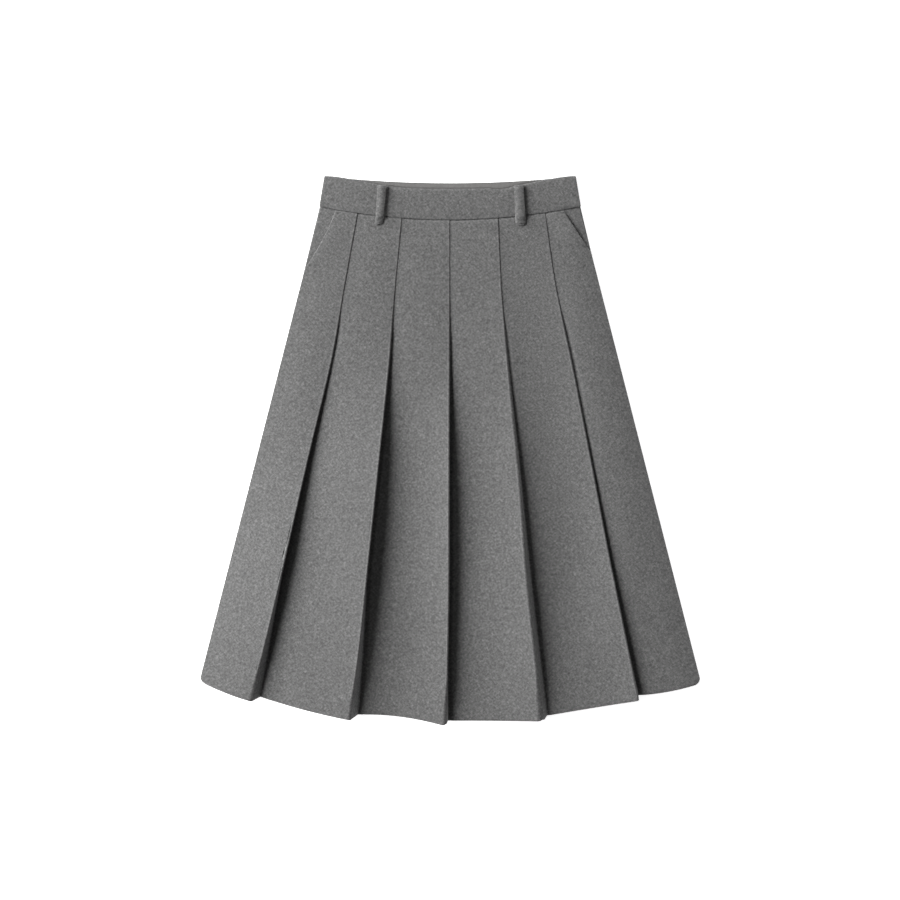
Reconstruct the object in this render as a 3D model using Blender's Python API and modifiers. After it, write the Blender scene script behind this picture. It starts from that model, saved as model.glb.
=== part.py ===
"""A knee-length pleated skirt of grey wool flannel, laid flat on its back.

X runs across the skirt, Y from the hem up to the waist and Z up from the surface that it lies on.
The front is six gores, and each gore's right edge is folded over the next one. The back is six
gores with their pleats pressed flat. Every cloth piece is an open sheet of points worked out from
the sizes and tables below, and a Solidify modifier gives it its wall. All sizes are in millimetres.
"""

import cmath
import math
from collections import namedtuple

import bmesh
import bpy

MM = 0.001

# Cloth
CLOTH = 1.5  # wall of the flannel
BAND_WALL = 2.2  # the waistband is two layers of flannel with a stiffener between
FACING_WALL = 1.0  # smooth facing inside the back of the waistband
LOOP_WALL = 2.0  # a belt loop is a folded strip
GAP = 0.3  # left between pieces at every seam

# Waist. A dip is how far an edge curves down in the middle, and a power is its curve's.
HALF_WAIST_SEAM = 170.9  # from the middle to the gores' side, where the band is sewn on
HALF_WAIST_TOP = 164.6  # the same line at the band's top edge
BAND_PROUD = 1.4  # the band stands this far out past it at each side
SEAM_SIDE_Y = 322.7  # the band's seam at the side
BAND_SIDE_Y = 362.3  # the band's top corners
Edge = namedtuple("Edge", "side_y half_width dip power")
FRONT_SEAM = Edge(SEAM_SIDE_Y, HALF_WAIST_SEAM, 17.6, 2.0)
BACK_SEAM = Edge(SEAM_SIDE_Y, HALF_WAIST_SEAM, 10.2, 2.0)
FRONT_TOP = Edge(BAND_SIDE_Y, HALF_WAIST_TOP, 16.2, 1.5)
BACK_TOP = Edge(BAND_SIDE_Y, HALF_WAIST_TOP, 9.0, 2.0)

# Side seams and hem
HEM_HALF_WIDTH = 330.6
LEFT_HEM_Y = -303.3
RIGHT_HEM_Y = -306.0
CORNER_RADIUS = 11.0  # the hem's corners are rounded
CORNER_LENGTH = 0.03  # share of the skirt's length over which the rounding fades out
BACK_HEM = Edge(-304.5, HEM_HALF_WIDTH, 44.0, 1.5)

# Levels of the middle of each wall above the surface
BACK_LEVEL = CLOTH / 2
BACK_BAND_LEVEL = BAND_WALL / 2
FACING_LEVEL = BAND_WALL + GAP + FACING_WALL / 2
POCKET_LEVEL = 3.7
FRONT_LEVEL = 4.7
FRONT_BAND_LEVEL = 4.9

# Front folds. Each row gives, at the STATIONS from the waist seam to the hem, the fold's place
# across the skirt, its height over the crease to the right of it, how far the crease is to the
# right, and how high the crease itself is raised. hem_y and crease_y are the ends at the hem.
STATIONS = (0.0, 0.15, 0.3, 0.5, 0.7, 0.85, 1.0)
Fold = namedtuple("Fold", "hem_y crease_y x rise shift base")
FOLDS = (
    Fold(
        hem_y=-328.0,
        crease_y=-323.4,
        x=(-121.9, -139.1, -155.8, -185.6, -214.6, -237.5, -261.8),
        rise=(0.8, 1.4, 3.4, 9.0, 12.5, 14.5, 14.0),
        shift=(2.5, 2.5, 1.0, -1.5, 2.0, 8.0, 13.0),
        base=(0.0, 0.0, 0.0, 0.0, 0.0, 0.0, 0.0),
    ),
    Fold(
        hem_y=-351.8,
        crease_y=-346.2,
        x=(-63.8, -73.1, -80.9, -93.8, -107.6, -118.3, -131.7),
        rise=(0.8, 1.4, 5.8, 17.5, 21.5, 21.0, 15.5),
        shift=(2.5, 2.5, 0.5, -2.0, 2.0, 7.0, 12.5),
        base=(0.0, 0.0, 0.0, 0.5, 1.0, 1.0, 1.0),
    ),
    Fold(
        hem_y=-360.2,
        crease_y=-354.4,
        x=(-0.7, -0.7, -0.7, -0.7, -0.9, -2.2, -7.9),
        rise=(0.8, 1.4, 5.8, 13.0, 15.0, 14.0, 12.5),
        shift=(2.5, 2.5, 0.5, -3.0, -3.0, -1.0, 7.0),
        base=(0.0, 0.0, 0.0, 1.0, 2.0, 2.0, 1.5),
    ),
    Fold(
        hem_y=-353.8,
        crease_y=-347.4,
        x=(63.2, 67.8, 77.1, 90.7, 100.0, 110.1, 119.4),
        rise=(0.8, 1.2, 3.0, 6.8, 11.5, 13.5, 11.5),
        shift=(2.5, 2.5, 1.5, -1.5, 6.0, 8.0, 8.5),
        base=(0.0, 0.0, 0.5, 2.5, 3.0, 3.0, 2.5),
    ),
    Fold(
        hem_y=-327.2,
        crease_y=-321.0,
        x=(125.0, 139.0, 159.3, 184.7, 208.9, 228.2, 247.7),
        rise=(0.8, 1.2, 2.2, 3.5, 5.0, 6.0, 7.0),
        shift=(2.5, 2.5, 1.5, 0.5, 0.0, 0.0, 0.8),
        base=(0.0, 0.0, 0.3, 1.2, 1.5, 1.5, 1.2),
    ),
)
FOLD_RADIUS = 1.7  # of the middle of the wall, round the folded edge
CREASE_RADIUS = 1.6
CREASE_FLAT = 2.0  # flat strip in the crease, where a gore is sewn to the next one

# Front gores, from left to right. A gore's face is straight from crease to fold at hollow 0 and
# hangs lower in between at more. hem_bow moves the middle of its hem down, and bulge is how far
# the face swells up between its edges, at the BULGE_STATIONS.
BULGE_STATIONS = (0.0, 0.25, 0.6, 1.0)
Gore = namedtuple("Gore", "hollow hem_bow bulge")
GORES = (
    Gore(0.2, 1.8, (0.2, 1.0, 1.0, 0.0)),
    Gore(0.0, 2.0, (0.2, 0.8, 0.5, 0.5)),
    Gore(0.2, -4.0, (0.2, 0.8, 0.5, 0.0)),
    Gore(0.6, 0.0, (0.2, 0.0, -1.0, -1.0)),
    Gore(0.5, 0.0, (0.2, -0.5, -2.8, -3.0)),
    Gore(0.0, 2.4, (0.2, 0.5, 1.5, 2.0)),
)
ROWS = (0.0, 0.05, 0.1, 0.15, 0.2, 0.26, 0.32, 0.38, 0.45, 0.52, 0.6, 0.68, 0.76, 0.84, 0.91, 0.97, 1.0)
FACE_POINTS = 9
FOLD_STEPS = 5
CREASE_STEPS = 3
SIDE_STEPS = 3
SIDE_STUB = 0.3  # straight end of a sheet beside a side seam
SIDE_INSETS = (1.0, 3.0, 6.0, 9.5)  # extra points beside a side seam, for the round corner

# Back gores, from left to right as seen from the front. Each one's left edge is folded under the
# gore on its left, on the outside of the skirt.
BACK_FOLDS = 5
BACK_WAIST_PITCH = 63.0
BACK_HEM_PITCH = 126.0
BACK_WAIST_UNDERLAP = 6.0
BACK_HEM_UNDERLAP = 18.0
BACK_RAMP = 8.0
BACK_ROWS = (0.0, 0.12, 0.3, 0.5, 0.7, 0.88, 0.97, 1.0)
BACK_POINTS = 5

# Pockets. The mouth runs from seam_x on the band's seam to end_y on the side seam, and is bowed
# in towards the middle. gape is how far the gore's edge stands off halfway down.
Pocket = namedtuple("Pocket", "side seam_x end_y bow gape")
POCKETS = (
    Pocket(side=-1, seam_x=150.5, end_y=240.0, bow=3.5, gape=0.8),
    Pocket(side=1, seam_x=149.7, end_y=264.0, bow=1.4, gape=1.4),
)
POCKET_UNDER = 16.0  # the pocket's facing goes this far under the gore
POCKET_RAISE = 0.8  # the gore rides this much higher over the facing
POCKET_FADE = 35.0  # width over which that fades out
WRAP_START = 2.0  # below the mouth's end, where the gore begins to turn round the side
WRAP_LENGTH = 10.0
FACING_ROWS = 9
FACING_POINTS = 5

# Belt loops
LOOP_TOP_X = 89.8
LOOP_FOOT_X = 93.0
LOOP_WIDTH = 12.6
LOOP_FOOT = 10.0  # the loop ends this far below the band's seam
LOOP_ROOM = 4.6  # clear height for a belt
LOOP_SEWN = 4.0  # length that lies flat at each end
LOOP_LIFT = 6.0  # length over which the loop lifts off
LOOP_POINTS = 17

# Waistband
BAND_POINTS = 23
BAND_ROWS = 4
FACING_SIDE_INSET = 8.0
FACING_TOP_INSET = 1.2

WOOL = (0.16, 0.16, 0.16, 1.0)
SMOOTH = (0.27, 0.25, 0.25, 1.0)


def clamp(value, low=0.0, high=1.0):
    return min(high, max(low, value))


def ease(value):
    value = clamp(value)
    return value * value * (3 - 2 * value)


def mix(a, b, share):
    return a + (b - a) * share


def shares(count):
    """Evenly spaced numbers from 0 to 1."""
    return [i / (count - 1) for i in range(count)]


def curve_at(stations, values, t):
    """The height at t of a smooth curve through the values at the stations."""
    last = len(stations) - 1
    i = max(0, min(last - 1, sum(t >= s for s in stations) - 1))
    step = stations[i + 1] - stations[i]

    def slope(k):
        a, b = max(0, k - 1), min(last, k + 1)
        return step * (values[b] - values[a]) / (stations[b] - stations[a])

    u = (t - stations[i]) / step
    rest = 1 - u
    return (
        rest * rest * ((1 + 2 * u) * values[i] + u * slope(i))
        + u * u * ((1 + 2 * rest) * values[i + 1] - rest * slope(i + 1))
    )


def edge_y(edge, x):
    """The height in plan of a curved edge at x."""
    across = clamp(abs(x) / edge.half_width)
    return edge.side_y - edge.dip * (1 - across**edge.power)


def side_x(y):
    """How far the side of the skirt is from the middle."""
    if y > SEAM_SIDE_Y:
        share = (y - SEAM_SIDE_Y) / (BAND_SIDE_Y - SEAM_SIDE_Y)
        return mix(HALF_WAIST_SEAM, HALF_WAIST_TOP, share)
    return mix(HALF_WAIST_SEAM, HEM_HALF_WIDTH, (SEAM_SIDE_Y - y) / (SEAM_SIDE_Y - LEFT_HEM_Y))


def corner_rise(inset, t):
    """How far a hem point is pulled up for the round corner, inset from the side."""
    if inset >= CORNER_RADIUS:
        return 0.0
    rise = CORNER_RADIUS - math.sqrt(CORNER_RADIUS**2 - (CORNER_RADIUS - max(0.0, inset)) ** 2)
    return rise * clamp(1 - (1 - t) / CORNER_LENGTH)


def rounded(before, corner, after, radius, steps):
    """Points of an arc that rounds a corner. A point is a complex number, x and height."""
    inward = (corner - before) / abs(corner - before)
    outward = (after - corner) / abs(after - corner)
    turn = cmath.phase(outward / inward)
    half = max(abs(turn) / 2, 0.001)
    room = 0.48 * min(abs(corner - before), abs(after - corner))
    length = min(radius * math.tan(half), room)
    start = corner - inward * length
    centre = start + inward * (1j if turn > 0 else -1j) * length / math.tan(half)
    return [centre + (start - centre) * cmath.exp(1j * turn * k / steps) for k in range(steps + 1)]


def side_arc(edge, side, level, other_level, wall, wrap=1.0):
    """Points from a flat sheet round its side edge, half-way to the level of the sheet it meets.

    side is -1 for the left edge. wrap is 1 for the whole quarter turn and 0 for a flat edge.
    """
    wrap = max(wrap, 0.001)
    toward = 1 if other_level > level else -1
    radius = abs(level - other_level) / 2 - GAP / 2 - SIDE_STUB
    bend = wrap * math.pi / 2
    reach = radius / wrap * math.sin(bend) + SIDE_STUB * math.cos(bend) + wrap * wall / 2
    start = complex(edge - side * reach, level)
    points = []
    for k in range(1, SIDE_STEPS + 1):
        part = bend * k / SIDE_STEPS
        out = radius / wrap * math.sin(part)
        off = radius / wrap * (1 - math.cos(part))
        points.append(start + complex(side * out, toward * off))
    points.append(points[-1] + SIDE_STUB * complex(side * math.cos(bend), toward * math.sin(bend)))
    return start, points


# A section is a list of points across one gore, each with its share of the face from left to
# right, or 1 to 2 on the way from the fold down to the crease.
SectionPoint = namedtuple("SectionPoint", "x z share inset")


def pocket_of(side):
    return POCKETS[0] if side < 0 else POCKETS[1]


def mouth_x(pocket, y):
    """Distance of a pocket's mouth from the middle, and the share of its length at height y."""
    top = edge_y(FRONT_SEAM, pocket.seam_x)
    share = clamp((top - y) / (top - pocket.end_y))
    straight = mix(pocket.seam_x, side_x(pocket.end_y), share)
    return straight - pocket.bow * 4 * share * (1 - share), share


def outer_edge(side, t):
    """An outer gore's edge at row t: its x, turn round the side, and lift over the facing."""
    pocket = pocket_of(side)
    hem_y = LEFT_HEM_Y if side < 0 else RIGHT_HEM_Y
    y = mix(edge_y(FRONT_SEAM, pocket.seam_x), hem_y, t)
    if y > pocket.end_y:
        x, share = mouth_x(pocket, y)
        return side * x, 0.0, POCKET_RAISE + pocket.gape * math.sin(math.pi * share) ** 2
    below = pocket.end_y - y
    wrap = ease((below - WRAP_START) / WRAP_LENGTH)
    return side * side_x(y), wrap, POCKET_RAISE * (1 - ease(below / WRAP_LENGTH))


def crease_end(fold, t):
    """The place where the sheet is flat again, to the right of a fold's crease."""
    return curve_at(STATIONS, fold.x, t) + curve_at(STATIONS, fold.shift, t) + CREASE_FLAT


def gore_section(index, t):
    """Points across front gore number index, at row t."""
    gore = GORES[index]
    bulge = curve_at(BULGE_STATIONS, gore.bulge, t)
    lift, lift_x = 0.0, 0.0
    left_rise, right_rise = 0.0, 0.0
    before, after = [], []

    if index == 0:
        edge, wrap, lift = outer_edge(-1, t)
        lift_x = edge
        anchor, arc = side_arc(edge, -1, FRONT_LEVEL, BACK_LEVEL, CLOTH, wrap)
        before = [SectionPoint(p.real, p.imag, 0.0, p.real - edge) for p in reversed(arc)]
        left = anchor.real
    else:
        left = crease_end(FOLDS[index - 1], t) + GAP
        left_rise = curve_at(STATIONS, FOLDS[index - 1].base, t)

    if index == len(GORES) - 1:
        edge, wrap, lift = outer_edge(1, t)
        lift_x = edge
        anchor, arc = side_arc(edge, 1, FRONT_LEVEL, BACK_LEVEL, CLOTH, wrap)
        after = [SectionPoint(p.real, p.imag, 1.0, edge - p.real) for p in arc]
        right = anchor.real
    else:
        fold = FOLDS[index]
        right = curve_at(STATIONS, fold.x, t)
        low_z = FRONT_LEVEL + curve_at(STATIONS, fold.base, t)
        right_rise = low_z - FRONT_LEVEL + curve_at(STATIONS, fold.rise, t)

    face_shares = shares(FACE_POINTS)
    if index == 0:
        face_shares += [inset / (right - left) for inset in SIDE_INSETS]
    if index == len(GORES) - 1:
        face_shares += [1 - inset / (right - left) for inset in SIDE_INSETS]

    face = []
    for share in sorted(face_shares):
        x = mix(left, right, share)
        z = FRONT_LEVEL + mix(left_rise, right_rise, mix(share, share * share, gore.hollow))
        z += 4 * bulge * share * (1 - share)
        z += lift * (1 - ease(abs(x - lift_x) / POCKET_FADE))
        inset = abs(x - lift_x) if lift_x else CORNER_RADIUS
        face.append(SectionPoint(x, z, share, inset))
    if before:
        before = [p._replace(z=p.z + lift) for p in before]
    if after:
        after = [p._replace(z=p.z + lift) for p in after]
        return before + face + after

    top = complex(face[-1].x, face[-1].z)
    low = complex(top.real + curve_at(STATIONS, fold.shift, t), low_z)
    end = complex(low.real + CREASE_FLAT, low_z)
    second_last = complex(face[-2].x, face[-2].z)
    turned = rounded(second_last, top, low, FOLD_RADIUS, FOLD_STEPS)
    creased = rounded(top, low, end, CREASE_RADIUS, CREASE_STEPS)
    section = before + face[:-1]
    section += [SectionPoint(p.real, p.imag, 1.0, CORNER_RADIUS) for p in turned]
    drop = max(0.001, turned[-1].imag - low_z)
    for p in creased + [end]:
        share = 2 - clamp((p.imag - low_z) / drop)
        section.append(SectionPoint(p.real, p.imag, share, CORNER_RADIUS))
    return section


def gore_hem_y(index, share):
    """The hem's place in plan at a share of the gore's width, or 1 to 2 down into the crease."""
    last = len(GORES) - 1
    left_y = LEFT_HEM_Y if index == 0 else FOLDS[index - 1].crease_y
    right_y = RIGHT_HEM_Y if index == last else FOLDS[index].hem_y
    if share > 1:
        return mix(right_y, FOLDS[index].crease_y, share - 1)
    return mix(left_y, right_y, share) - GORES[index].hem_bow * 4 * share * (1 - share)


def gore_rows(index):
    """The rows of an outer gore are closer where its pocket ends."""
    last = len(GORES) - 1
    if index not in (0, last):
        return ROWS
    side = -1 if index == 0 else 1
    pocket = pocket_of(side)
    top = edge_y(FRONT_SEAM, pocket.seam_x)
    hem_y = LEFT_HEM_Y if side < 0 else RIGHT_HEM_Y
    ends = [(top - pocket.end_y + below) / (top - hem_y) for below in (0.0, WRAP_START, 7.0, 12.0)]
    kept = [t for t in ROWS if all(abs(t - end) > 0.008 for end in ends)]
    return sorted(kept + ends)


def gore_grid(index):
    """Rows of points of a front gore, from the waist to the hem."""
    seam_ys = [edge_y(FRONT_SEAM, p.x) - GAP / 2 for p in gore_section(index, 0.0)]
    rows = []
    for t in gore_rows(index):
        row = []
        for point, seam_y in zip(gore_section(index, t), seam_ys):
            y = mix(seam_y, gore_hem_y(index, point.share), t) + corner_rise(point.inset, t)
            row.append((point.x, y, point.z))
        rows.append(row)
    return rows


def back_fold_x(number, t):
    """Place of back fold number 0 to 4 from the left, where a gore ends on the surface."""
    middle = number - (BACK_FOLDS - 1) / 2
    return middle * mix(BACK_WAIST_PITCH, BACK_HEM_PITCH, t)


def back_section(index, t):
    """Points across back gore number index, at row t. The left end lies on the surface."""
    y = mix(SEAM_SIDE_Y, BACK_HEM.side_y, t)
    points = []
    if index == 0:
        edge = -side_x(y)
        anchor, arc = side_arc(edge, -1, BACK_LEVEL, FRONT_LEVEL, CLOTH)
        points += [SectionPoint(p.real, p.imag, 0.0, p.real - edge) for p in reversed(arc)]
        left = anchor.real
    else:
        left = back_fold_x(index - 1, t)
    if index == BACK_FOLDS:
        edge = side_x(y)
        anchor, arc = side_arc(edge, 1, BACK_LEVEL, FRONT_LEVEL, CLOTH)
        ending = [SectionPoint(p.real, p.imag, 0.0, edge - p.real) for p in arc]
        right = anchor.real
    else:
        fold_x = back_fold_x(index, t)
        right = fold_x - GAP - BACK_RAMP
        ending = []
        for share in shares(BACK_POINTS)[1:]:
            z = BACK_LEVEL + ease(share) * (CLOTH + GAP)
            ending.append(SectionPoint(right + BACK_RAMP * share, z, 1.0, CORNER_RADIUS))
        under = mix(BACK_WAIST_UNDERLAP, BACK_HEM_UNDERLAP, t)
        ending.append(SectionPoint(fold_x + under, BACK_LEVEL + CLOTH + GAP, 1.0, CORNER_RADIUS))
    flat = list(shares(BACK_POINTS))
    width = right - left
    if index == 0:
        flat += [inset / width for inset in SIDE_INSETS]
    if index == BACK_FOLDS:
        flat += [1 - inset / width for inset in SIDE_INSETS]
    for share in sorted(flat):
        x = mix(left, right, share)
        points.append(SectionPoint(x, BACK_LEVEL, share, side_x(y) - abs(x)))
    return points + ending


def back_grid(index):
    """Rows of points of a back gore, from the waist to the hem."""
    seam_ys = [edge_y(BACK_SEAM, p.x) - GAP / 2 for p in back_section(index, 0.0)]
    rows = []
    for t in BACK_ROWS:
        row = []
        for point, seam_y in zip(back_section(index, t), seam_ys):
            y = mix(seam_y, edge_y(BACK_HEM, point.x), t) + corner_rise(point.inset, t)
            row.append((point.x, y, point.z))
        rows.append(row)
    return rows


def band_grid(seam, top, level, other_level):
    """Rows of points of one half of the waistband, from its seam up to its top edge."""
    rows = []
    for t in shares(BAND_ROWS):
        half = side_x(mix(SEAM_SIDE_Y, BAND_SIDE_Y, t)) + BAND_PROUD
        start, arc = side_arc(half, 1, level, other_level, BAND_WALL)
        row = [complex(mix(-start.real, start.real, share), level) for share in shares(BAND_POINTS)]
        row = [complex(-p.real, p.imag) for p in reversed(arc)] + row + arc
        rows.append([(p.real, mix(edge_y(seam, p.real) + GAP / 2, edge_y(top, p.real), t), p.imag) for p in row])
    return rows


def facing_grid():
    """The smooth facing on the inside of the back of the waistband."""
    rows = []
    for t in (0.0, 1.0):
        half = mix(HALF_WAIST_SEAM, HALF_WAIST_TOP, t) - FACING_SIDE_INSET
        row = []
        for share in shares(BAND_POINTS):
            x = mix(-half, half, share)
            y = mix(edge_y(BACK_SEAM, x) + 1, edge_y(BACK_TOP, x) - FACING_TOP_INSET, t)
            row.append((x, y, FACING_LEVEL))
        rows.append(row)
    return rows


def pocket_grid(pocket):
    """The piece that shows in a pocket's mouth, from the waist seam to the mouth's end."""
    top = edge_y(FRONT_SEAM, pocket.seam_x)
    rows = []
    for t in shares(FACING_ROWS):
        y_row = mix(top, pocket.end_y + 1, t)
        inner = mouth_x(pocket, y_row)[0] - POCKET_UNDER
        row = []
        for share in shares(FACING_POINTS):
            x = mix(inner, side_x(y_row), share)
            seam = edge_y(FRONT_SEAM, x) - GAP / 2
            row.append((pocket.side * x, mix(seam, pocket.end_y + 1, t), POCKET_LEVEL))
        rows.append(row)
    return rows


def loop_grid(side):
    """A belt loop, from the band's top edge to a little below its seam."""
    top_y = edge_y(FRONT_TOP, LOOP_TOP_X)
    foot_y = edge_y(FRONT_SEAM, LOOP_FOOT_X) - LOOP_FOOT
    length = top_y - foot_y
    sewn_level = FRONT_BAND_LEVEL + BAND_WALL / 2 + GAP + LOOP_WALL / 2
    rows = []
    for share in shares(LOOP_POINTS):
        end = min(share, 1 - share) * length
        z = sewn_level + LOOP_ROOM * ease((end - LOOP_SEWN) / LOOP_LIFT)
        centre = mix(LOOP_TOP_X, LOOP_FOOT_X, share)
        y = mix(top_y, foot_y, share)
        row = []
        for across in (-0.5, 0.0, 0.5):
            row.append((side * centre + across * LOOP_WIDTH, y, z))
        rows.append(row)
    return rows


def make_material(name, colour, roughness):
    material = bpy.data.materials.new(name)
    material.use_nodes = True
    shader = material.node_tree.nodes["Principled BSDF"]
    shader.inputs["Base Color"].default_value = colour
    shader.inputs["Roughness"].default_value = roughness
    material.diffuse_color = colour
    return material


def make_sheet(collection, name, grid, wall, colour, centre_y):
    """An object with a wall, on the middle surface given by rows of points."""
    mesh = bpy.data.meshes.new(name)
    shape = bmesh.new()
    rows = [[shape.verts.new((x * MM, (y - centre_y) * MM, z * MM)) for x, y, z in row] for row in grid]
    for upper, lower in zip(rows, rows[1:]):
        for i in range(len(upper) - 1):
            shape.faces.new((upper[i], lower[i], lower[i + 1], upper[i + 1]))
    bmesh.ops.recalc_face_normals(shape, faces=shape.faces)
    shape.to_mesh(mesh)
    shape.free()
    sheet = bpy.data.objects.new(name, mesh)
    collection.objects.link(sheet)
    mesh.materials.append(make_material(name + "_material", colour, 0.85))
    solid = sheet.modifiers.new("Wall", "SOLIDIFY")
    solid.thickness = wall * MM
    solid.offset = 0.0
    solid.use_even_offset = True
    solid.use_quality_normals = True
    return sheet


def main():
    for old in list(bpy.data.objects):
        bpy.data.objects.remove(old, do_unlink=True)
    collection = bpy.data.collections.new("mini_skirt")
    bpy.context.scene.collection.children.link(collection)

    sheets = []
    for index in range(len(GORES)):
        sheets.append((f"front_gore_{index + 1}", gore_grid(index), CLOTH, WOOL))
    for index in range(BACK_FOLDS + 1):
        sheets.append((f"back_gore_{index + 1}", back_grid(index), CLOTH, WOOL))
    front_band = band_grid(FRONT_SEAM, FRONT_TOP, FRONT_BAND_LEVEL, BACK_BAND_LEVEL)
    back_band = band_grid(BACK_SEAM, BACK_TOP, BACK_BAND_LEVEL, FRONT_BAND_LEVEL)
    sheets.append(("waistband_front", front_band, BAND_WALL, WOOL))
    sheets.append(("waistband_back", back_band, BAND_WALL, WOOL))
    sheets.append(("waistband_back_facing", facing_grid(), FACING_WALL, SMOOTH))
    for pocket, word in zip(POCKETS, ("left", "right")):
        sheets.append((f"pocket_facing_{word}", pocket_grid(pocket), CLOTH, WOOL))
        sheets.append((f"belt_loop_{word}", loop_grid(pocket.side), LOOP_WALL, WOOL))

    # The frame's origin is under the middle of the whole skirt.
    ys = [y for _, grid, _, _ in sheets for row in grid for _, y, _ in row]
    centre_y = (min(ys) + max(ys)) / 2
    for name, grid, wall, colour in sheets:
        make_sheet(collection, name, grid, wall, colour, centre_y)


main()
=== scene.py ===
"""A knee-length pleated skirt of grey wool flannel, laid flat on its back and seen from above."""

import cmath
import math
from collections import namedtuple

import bpy
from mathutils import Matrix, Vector, noise


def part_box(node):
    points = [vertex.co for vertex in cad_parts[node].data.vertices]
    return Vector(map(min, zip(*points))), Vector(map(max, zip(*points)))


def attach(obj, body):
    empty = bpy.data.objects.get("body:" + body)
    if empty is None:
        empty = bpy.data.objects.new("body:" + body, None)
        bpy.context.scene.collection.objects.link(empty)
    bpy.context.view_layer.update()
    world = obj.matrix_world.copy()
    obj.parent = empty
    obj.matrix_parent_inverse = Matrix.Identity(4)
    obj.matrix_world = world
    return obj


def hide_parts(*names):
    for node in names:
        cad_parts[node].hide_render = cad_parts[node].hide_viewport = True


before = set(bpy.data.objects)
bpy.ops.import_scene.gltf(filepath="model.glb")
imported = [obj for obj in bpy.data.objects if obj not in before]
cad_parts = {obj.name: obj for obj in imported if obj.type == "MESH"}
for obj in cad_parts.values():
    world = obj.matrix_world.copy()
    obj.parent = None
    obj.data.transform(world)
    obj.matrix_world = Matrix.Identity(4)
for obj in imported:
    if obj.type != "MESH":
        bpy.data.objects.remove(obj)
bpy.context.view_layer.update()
scene = bpy.context.scene
scene.view_settings.view_transform = "Standard"

# The camera hangs straight over the middle of the skirt, with the waist at the top of its picture.
# The photograph's frame is 1.188 m wide at the surface that the skirt lies on.
CAMERA_HEIGHT = 2.8
FRAME_WIDTH = 1.188
SENSOR = 0.036
CAMERA_Y = 0.0004

lens = bpy.data.cameras.new("camera")
lens.sensor_width = SENSOR * 1000
lens.lens = SENSOR * 1000 * CAMERA_HEIGHT / FRAME_WIDTH
camera = bpy.data.objects.new("camera", lens)
camera.location = (0, CAMERA_Y, CAMERA_HEIGHT)
scene.collection.objects.link(camera)
scene.camera = camera

# A white light table, one large soft light low on the left beyond the waist, a weak one low on the
# right, and a little light from all round. The low light rakes over the pleats, so that each raised
# fold throws a shadow to its right, and the weak one shows the returns that run down into it.
FLOOR_SIZE = 60.0
TABLE_WHITE = 0.9
TABLE_ROUGHNESS = 0.9
TABLE_GLOW = 0.85  # the table's own light, which takes the skirt's shadow off it
LIGHT_DISTANCE = 6.5
KEY_SIDE = 6.8
KEY_RISE = math.radians(25)
KEY_TURN = math.radians(159)  # from square to the right, so it is on the left towards the waist
KEY_POWER = 1440
FILL_SIDE = 3.0
FILL_RISE = math.radians(13)
FILL_TURN = math.radians(10)
FILL_POWER = 110
WORLD_LIGHT = 0.1

floor_mesh = bpy.data.meshes.new("floor")
half_floor = FLOOR_SIZE / 2
signs = ((-1, -1), (1, -1), (1, 1), (-1, 1))
corners = [(half_floor * x, half_floor * y, 0) for x, y in signs]
floor_mesh.from_pydata(corners, [], [(0, 1, 2, 3)])
floor = bpy.data.objects.new("floor", floor_mesh)
scene.collection.objects.link(floor)
paint = bpy.data.materials.new("studio_table")
paint.use_nodes = True
paint_inputs = paint.node_tree.nodes["Principled BSDF"].inputs
paint_inputs["Base Color"].default_value = (TABLE_WHITE, TABLE_WHITE, TABLE_WHITE, 1)
paint_inputs["Roughness"].default_value = TABLE_ROUGHNESS
paint_inputs["Emission Color"].default_value = (1, 1, 1, 1)
paint_inputs["Emission Strength"].default_value = TABLE_GLOW
floor_mesh.materials.append(paint)

lights = (
    ("key", KEY_SIDE, KEY_RISE, KEY_TURN, KEY_POWER),
    ("fill", FILL_SIDE, FILL_RISE, FILL_TURN, FILL_POWER),
)
for name, side, rise, turn, power in lights:
    lamp = bpy.data.lights.new(name, "AREA")
    lamp.shape = "DISK"
    lamp.size = side
    lamp.energy = power
    light = bpy.data.objects.new(name, lamp)
    flat = math.cos(rise)
    towards = Vector((flat * math.cos(turn), flat * math.sin(turn), math.sin(rise)))
    light.location = towards * LIGHT_DISTANCE
    light.rotation_euler = towards.to_track_quat("Z", "Y").to_euler()
    scene.collection.objects.link(light)

world = bpy.data.worlds.new("studio")
world.use_nodes = True
sky = world.node_tree.nodes["Background"].inputs
sky["Color"].default_value = (1, 1, 1, 1)
sky["Strength"].default_value = WORLD_LIGHT
scene.world = world

# The cloth is a wool flannel of mid grey, woven from yarns spun of light and dark fibres, and
# brushed. From near it is a fine fleck of light and dark hairs over a faint twill.
WOOL_GREY = 0.11
WOOL_WARMTH = 0.004
FLECK_SIZE = 0.0027
HAIR_LENGTH = 0.006
HAIR_WIDTH = 0.0017
LEFT_HAIR_TURN = math.radians(44)
RIGHT_HAIR_TURN = math.radians(-50)
CLOUD_SIZE = 0.045
TWILL_PITCH = 0.0016
FLECK_DETAIL = 2.0
CLOUD_DETAIL = 4.0
NOISE_ROUGHNESS = 0.6
# how far each layer changes the grey, as a power of e over its whole range
FLECK_CONTRAST = 1.55
HAIR_CONTRAST = 0.9
CLOUD_CONTRAST = 0.12
TWILL_CONTRAST = 0.03
# the share of each layer in the nap's relief
FLECK_RELIEF = 0.6
HAIR_RELIEF = 0.5
TWILL_RELIEF = 0.08
NAP_RELIEF = 0.0004
NAP_STRENGTH = 0.55
WOOL_ROUGHNESS = 0.88
WOOL_ROUGHNESS_RANGE = 0.1
WOOL_SHEEN = 0.12
SHEEN_ROUGHNESS = 0.6
WOOL_SPECULAR = 0.2


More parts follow.
